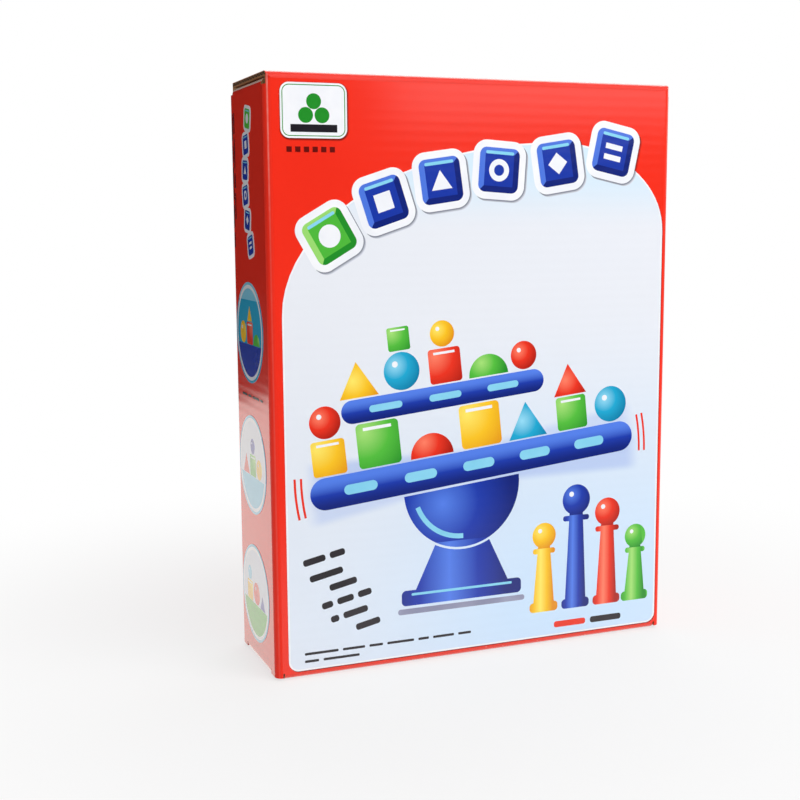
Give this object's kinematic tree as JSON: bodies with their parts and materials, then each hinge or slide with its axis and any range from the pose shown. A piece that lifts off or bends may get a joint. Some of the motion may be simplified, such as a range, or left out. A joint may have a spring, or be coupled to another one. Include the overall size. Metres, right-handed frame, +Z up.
{
  "type": "printed game carton",
  "caption": "Upright tuck-top carton of red printed microflute board with a pale arched panel of plain toy shapes and a hinged lid.",
  "frame": {"origin": "centre of the bottom, on the surface the carton stands on", "axes": "+X to the carton's right seen from the front, +Y to the back, +Z up; the printed front faces -Y"},
  "size_m": [0.1501, 0.0441, 0.2],
  "materials": {
    "red_board": "gloss laminated print outside, brown board inside",
    "red_board_lid": "gloss laminated print outside, brown board inside",
    "ink_white": "gloss laminated print",
    "ink_pale_blue": "gloss laminated print",
    "ink_blue": "gloss laminated print",
    "ink_sky": "gloss laminated print",
    "ink_yellow": "gloss laminated print",
    "ink_green": "gloss laminated print",
    "ink_red": "gloss laminated print",
    "ink_dark": "gloss laminated print",
    "ink_shadow": "gloss laminated print"
  },
  "bodies": {
    "carton": {"carton": "red_board", "print_white": "ink_white", "print_pale_blue": "ink_pale_blue", "print_blue": "ink_blue", "print_sky": "ink_sky", "print_yellow": "ink_yellow", "print_green": "ink_green", "print_red": "ink_red", "print_dark": "ink_dark", "print_shadow": "ink_shadow"},
    "lid": {"lid": "red_board_lid"}
  },
  "joints": [
    {"name": "lid_hinge", "type": "hinge", "parent": "carton", "child": "lid", "pos_m": [0, -0.0213, 0.1993], "axis": [1, 0, 0], "range_deg": [0, 180]}
  ]
}
